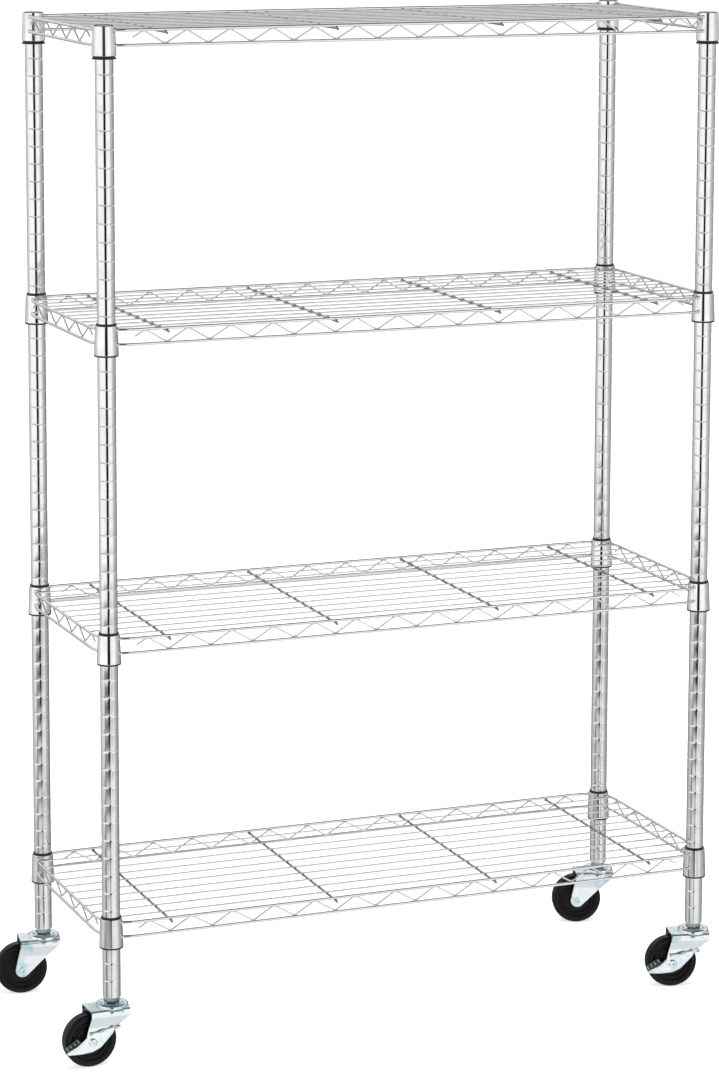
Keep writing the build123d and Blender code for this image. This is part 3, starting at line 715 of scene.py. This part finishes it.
def leverGrip():
    # the grip folded over at the back, and the ridges pressed in it
    start, end = np.array(lever["gripStart"]) * mm, np.array(lever["gripEnd"]) * mm
    run = np.linalg.norm(end - start)
    slope = math.degrees(math.atan2(*(end - start)[::-1]))
    width = lever["gripWidth"]
    face = rounded([(0, -0.6 * mm), (run, -0.6 * mm), (run - 1.5 * mm, width), (1.0 * mm, width)], 2.4 * mm, 6, True)
    ridges = []
    for number in range(lever["ridges"]):
        along = run * (number + 0.5) / lever["ridges"]
        path = np.linspace((along, -lever["half"], 1.4 * mm), (along, -lever["half"], width - 1.2 * mm), 5)
        ridges.append(pipe(path, lever["ridge"], (1, 0, 0), 10, 0.6))
    shapes = [slab(face, -lever["half"], lever["half"], 0.4 * mm), joined(ridges)]
    shapes = [turnedAbout(turnedAbout(shape, "x", -lever["gripLean"]), "y", -slope) for shape in shapes]
    middle = (lever["near"] + lever["far"]) / 2
    return [shifted(shape, axleX + start[0], -middle, axleZ + start[1]) for shape in shapes]


def leverBead():
    # rolled bead in two swells: radius = r (0.8 + 0.2 cos(two turns along it))
    line = np.array(lever["beadLine"]) * mm
    path = rounded(np.column_stack([line[:, 0], np.full(len(line), -lever["far"] + 0.3 * mm), line[:, 1]]), 4 * mm, 5)
    along = np.linspace(0, 1, 41)
    reach = np.concatenate([[0], np.cumsum(np.linalg.norm(np.diff(path, axis=0), axis=1))])
    path = np.column_stack([np.interp(along * reach[-1], reach, path[:, part]) for part in range(3)])
    swell = 0.80 + 0.20 * np.cos(along * 4 * np.pi)
    return shifted(pipe(path, lever["bead"] * swell, (0, -1, 0), 16, 0.8), axleX, 0, axleZ)


def toPost(shape, corner):
    # turned to the direction the caster trails in, which is where its axle stands from its post
    axle = np.array(jointNamed("roll_" + corner)["pos_m"])[:2]
    away = axle - postPlaces[corner]
    angle = math.degrees(math.atan2(away[1], away[0])) - 180
    return shifted(turnedAbout(shape, "z", angle), *postPlaces[corner])


legs, dish = forkLegs(), crownDish()
wheel = shifted(turnedAbout(wheelShape(), "x", 90), axleX, 0, axleZ)
lowStem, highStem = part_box("caster_stems")
lowCup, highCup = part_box("caster_race_cups")
stem = stemAndNut(lowStem.z, highStem.z, postFoot)
cup = raceCup(lowCup.z, highCup.z)
# the stem and nut take the half-bright zinc, a painted shadow
makePiece("caster_stems_and_nuts", joined(toPost(stem, corner) for corner in cornerNames), zincNutPaintedShade, "frame",
          ["caster_stems"])
makePiece("caster_upper_races", joined(toPost(cup, corner) for corner in cornerNames), zincPlate, "frame",
          ["caster_race_cups"])
for corner in cornerNames:
    braked = corner in brakedCorners
    swivel = "swivel_" + corner
    piece = makePiece("fork_legs_" + corner, toPost(legs, corner), zincPlate, swivel,
                      ["caster_fork_" + corner])
    finish(piece, thickness=caster["sheet"], bevel=0.35 * mm, angle=50)
    makePiece("fork_crown_" + corner, toPost(dish, corner), zincPlate, swivel)
    near = caster["legHalf"] + (2.5 * mm if braked else 0)
    rivet = turnedAbout(rivetShape(caster["legHalf"], near), "x", 90)
    makePiece("axle_rivet_" + corner, toPost(shifted(rivet, axleX, 0, axleZ), corner), zincPlate, swivel,
              ["caster_axle_" + corner])
    makePiece("solid_wheel_" + corner, toPost(wheel, corner), wheelBlack, "wheel_" + corner,
              ["caster_wheel_" + corner])
    if braked:
        body = "brake_" + corner
        grip, ridges = leverGrip()
        makePiece("brake_rocker_" + corner, toPost(leverPlate(), corner), zincPlate, body,
                  ["brake_lever_" + corner])
        # the grip takes the near-black material, a painted dark reflection on the zinc lever
        makePiece("brake_grip_" + corner, toPost(grip, corner), gripPaintedShade, body)
        makePiece("brake_grip_ridges_" + corner, toPost(ridges, corner), zincPlate, body)
        # the bead takes the darkened zinc, which is painted shade
        makePiece("brake_bead_" + corner, toPost(leverBead(), corner), zincBeadPaintedShade, body)
print("casters made")


# Inner parts that stay as they are, with better finishes

innerNodes = {"post_joint_bushes": innerSteel, "post_joint_studs": innerSteel, "caster_sockets": innerSteel,
              "caster_swivel_balls": ballSteel}
innerNodes.update({"caster_axle_bush_" + corner: innerSteel for corner in cornerNames})
for node, material in innerNodes.items():
    for place in frame["nodes"][node].material_slots:
        place.material = material


# Stage: pale floor and backdrop, and a ring of soft light round the rack that is bright to the left and right of
# the camera, dark behind it and grey at the far side

stage = {"floorSize": 60.0, "floorGlow": 0.62, "backdropRadius": 60.0, "ringRadius": 5.2, "ringHeight": 4.6,
         "ringSides": 96, "ringStrength": 1.12,
         "skyLevels": ((0, 0.8), (0.2, 0.7), (0.6, 0.5), (0.75, 0.3), (0.9, 0.14), (1, 0.12))}
# how bright the ring is by degrees to the right of the camera: high up, level with the lamps, over the dark studio
# floor in front of them and over the pale floor nearest the rack, with the heights that these bands blend between
ringLight = {
    "high": ((-180, 0.78), (-92, 0.70), (-82, 0.95), (-50, 1.0), (-15, 0.9), (-11.5, 0.05), (11.5, 0.05), (15, 0.9),
             (45, 1.0), (62, 0.95), (72, 0.66), (100, 0.62), (180, 0.78)),
    "upper": ((-180, 0.07), (-158, 0.12), (-135, 0.40), (-112, 0.62), (-92, 0.66), (-82, 0.98), (-50, 1.0),
              (-15, 0.97), (-11.5, 0.01), (11.5, 0.01), (15, 0.97), (45, 1.0), (62, 0.95), (72, 0.60), (100, 0.46),
              (128, 0.30), (152, 0.12), (180, 0.07)),
    "middle": ((-180, 0.07), (-155, 0.12), (-130, 0.45), (-96, 0.60), (-80, 0.72), (-62, 0.74), (-50, 0.20),
               (-20, 0.16), (-14, 0.01), (10, 0.01), (12, 1.0), (18, 0.95), (22, 0.50), (44, 0.62), (52, 0.85),
               (66, 0.55), (92, 0.4), (128, 0.28), (152, 0.12), (180, 0.07)),
    "lower": ((-180, 0.10), (-150, 0.16), (-125, 0.45), (-90, 0.55), (-72, 0.60), (-64, 0.12), (-54, 0.15),
              (-46, 0.62), (-6, 0.74), (-3, 0.20), (2, 0.20), (5, 0.80), (36, 0.90), (58, 0.82), (80, 0.50),
              (125, 0.26), (152, 0.14), (180, 0.10)),
    "highToUpper": (1.0, 1.5), "upperToMiddle": (-0.62, -0.38), "middleToLower": (-1.15, -0.85)}
overhead = {"place": (0, -0.5, 3.6), "target": (0, 0, 0.6), "size": (3.0, 2.2), "power": 90}
view = {"place": (-1.927, -4.752, 1.7565), "turn": -21.87, "pitch": -8.35, "roll": -0.12, "lens": 118.47,
        "sensor": 36.0, "shiftY": -0.2}


def plainMaterial(name, colour, glow):
    material, nodes, links, shader = newMaterial(name)
    shader.inputs["Base Color"].default_value = (*colour, 1)
    shader.inputs["Roughness"].default_value = 0.9
    shader.inputs["Emission Color"].default_value = (1, 1, 1, 1)
    shader.inputs["Emission Strength"].default_value = glow
    return material


def ringMaterial():
    # azimuth from the camera = atan2(across, away), read off the light's own table of brightness
    material, nodes, links, shader = newMaterial("light ring")
    nodes.remove(shader)
    place = nodes.new("ShaderNodeTexCoord")
    turn = math.atan2(view["place"][0], -view["place"][1])
    across = (math.cos(turn), math.sin(turn), 0)
    away = (math.sin(turn), -math.cos(turn), 0)
    parts = []
    for direction in (across, away):
        dot = nodes.new("ShaderNodeVectorMath")
        dot.operation = "DOT_PRODUCT"
        dot.inputs[1].default_value = direction
        links.new(place.outputs["Object"], dot.inputs[0])
        parts.append(dot.outputs["Value"])
    azimuth = nodes.new("ShaderNodeMath")
    azimuth.operation = "ARCTAN2"
    links.new(parts[0], azimuth.inputs[0])
    links.new(parts[1], azimuth.inputs[1])
    share = spread(nodes, links, azimuth.outputs[0], 0, 1, -math.pi, math.pi)
    height = nodes.new("ShaderNodeSeparateXYZ")
    links.new(place.outputs["Object"], height.inputs[0])

    def band(name):
        stops = [((degrees + 180) / 360, (level, level, level)) for degrees, level in ringLight[name]]
        return colourRamp(nodes, links, share, stops)

    def blend(lower, upper, between):
        mix = nodes.new("ShaderNodeMix")
        mix.data_type = "RGBA"
        links.new(spread(nodes, links, height.outputs["Z"], 0, 1, *ringLight[between]), mix.inputs["Factor"])
        links.new(lower, mix.inputs["A"])
        links.new(upper, mix.inputs["B"])
        return mix.outputs["Result"]

    light = blend(band("upper"), band("high"), "highToUpper")
    light = blend(band("middle"), light, "upperToMiddle")
    light = blend(band("lower"), light, "middleToLower")
    emission = nodes.new("ShaderNodeEmission")
    emission.inputs["Strength"].default_value = stage["ringStrength"]
    links.new(light, emission.inputs["Color"])
    links.new(emission.outputs["Emission"], nodes["Material Output"].inputs["Surface"])
    return material


def stageMesh(name, shape, material, camera=True, diffuse=True, glossy=True):
    mesh = bpy.data.meshes.new(name)
    mesh.from_pydata(shape[0].tolist(), [], shape[1])
    mesh.materials.append(material)
    item = bpy.data.objects.new(name, mesh)
    bpy.context.scene.collection.objects.link(item)
    item.visible_camera = camera
    item.visible_diffuse = diffuse
    item.visible_glossy = glossy
    item.visible_shadow = False
    item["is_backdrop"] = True
    return item


def floorMaterial():
    # pale paper, glowing less near the rack so that a faint contact shadow is left there
    material = plainMaterial("pale floor", (0.86, 0.86, 0.86), 1.0)
    nodes, links = material.node_tree.nodes, material.node_tree.links
    place = nodes.new("ShaderNodeTexCoord")
    length = nodes.new("ShaderNodeVectorMath")
    length.operation = "LENGTH"
    links.new(place.outputs["Object"], length.inputs[0])
    glow = spread(nodes, links, length.outputs["Value"], stage["floorGlow"], 1.0, 0.6, 3.0)
    links.new(glow, nodes["Principled BSDF"].inputs["Emission Strength"])
    return material


half = stage["floorSize"] / 2
floorPoints = np.array([(-half, -half, 0), (half, -half, 0), (half, half, 0), (-half, half, 0)], float)
stageMesh("floor", (floorPoints, [[0, 1, 2, 3]]), floorMaterial(), glossy=False)
backdrop = bead((0, 0, 0), (stage["backdropRadius"],) * 3, 32, 16)
stageMesh("backdrop", flipped(backdrop), plainMaterial("backdrop", (0, 0, 0), 1.0), diffuse=False, glossy=False)
ringWall = [(stage["ringRadius"], level * stage["ringHeight"]) for level in (-1, -0.5, 0, 0.5, 1)]
ringPoints, ringFaces = lathe(ringWall, stage["ringSides"])
stageMesh("light_ring", flipped((ringPoints, ringFaces[:-2])), ringMaterial(), camera=False)

world = bpy.data.worlds.new("studio")
bpy.context.scene.world = world
world.use_nodes = True
nodes, links = world.node_tree.nodes, world.node_tree.links
direction = nodes.new("ShaderNodeTexCoord")
height = nodes.new("ShaderNodeSeparateXYZ")
links.new(direction.outputs["Generated"], height.inputs[0])
share = spread(nodes, links, height.outputs["Z"], 0, 1, -1, 1)
sky = colourRamp(nodes, links, share, [(place, (level, level, level * 1.02)) for place, level in stage["skyLevels"]])
links.new(sky, nodes["Background"].inputs["Color"])


lightData = bpy.data.lights.new("overhead", "AREA")
lightData.shape = "RECTANGLE"
lightData.size, lightData.size_y = overhead["size"]
lightData.energy = overhead["power"]
light = bpy.data.objects.new("overhead", lightData)
light.location = overhead["place"]
light.rotation_euler = (Vector(overhead["target"]) - Vector(overhead["place"])).to_track_quat("-Z", "Y").to_euler()
light.visible_camera = False
light.visible_glossy = False
bpy.context.scene.collection.objects.link(light)

cameraData = bpy.data.cameras.new("camera")
cameraData.lens = view["lens"]
cameraData.sensor_width = view["sensor"]
cameraData.shift_y = view["shiftY"]
camera = bpy.data.objects.new("camera", cameraData)
camera.location = view["place"]
camera.rotation_euler = (math.radians(90 + view["pitch"]), math.radians(view["roll"]), math.radians(view["turn"]))
bpy.context.scene.collection.objects.link(camera)
bpy.context.scene.camera = camera
bpy.context.scene.view_settings.view_transform = "Standard"
print("stage made")

low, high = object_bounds()
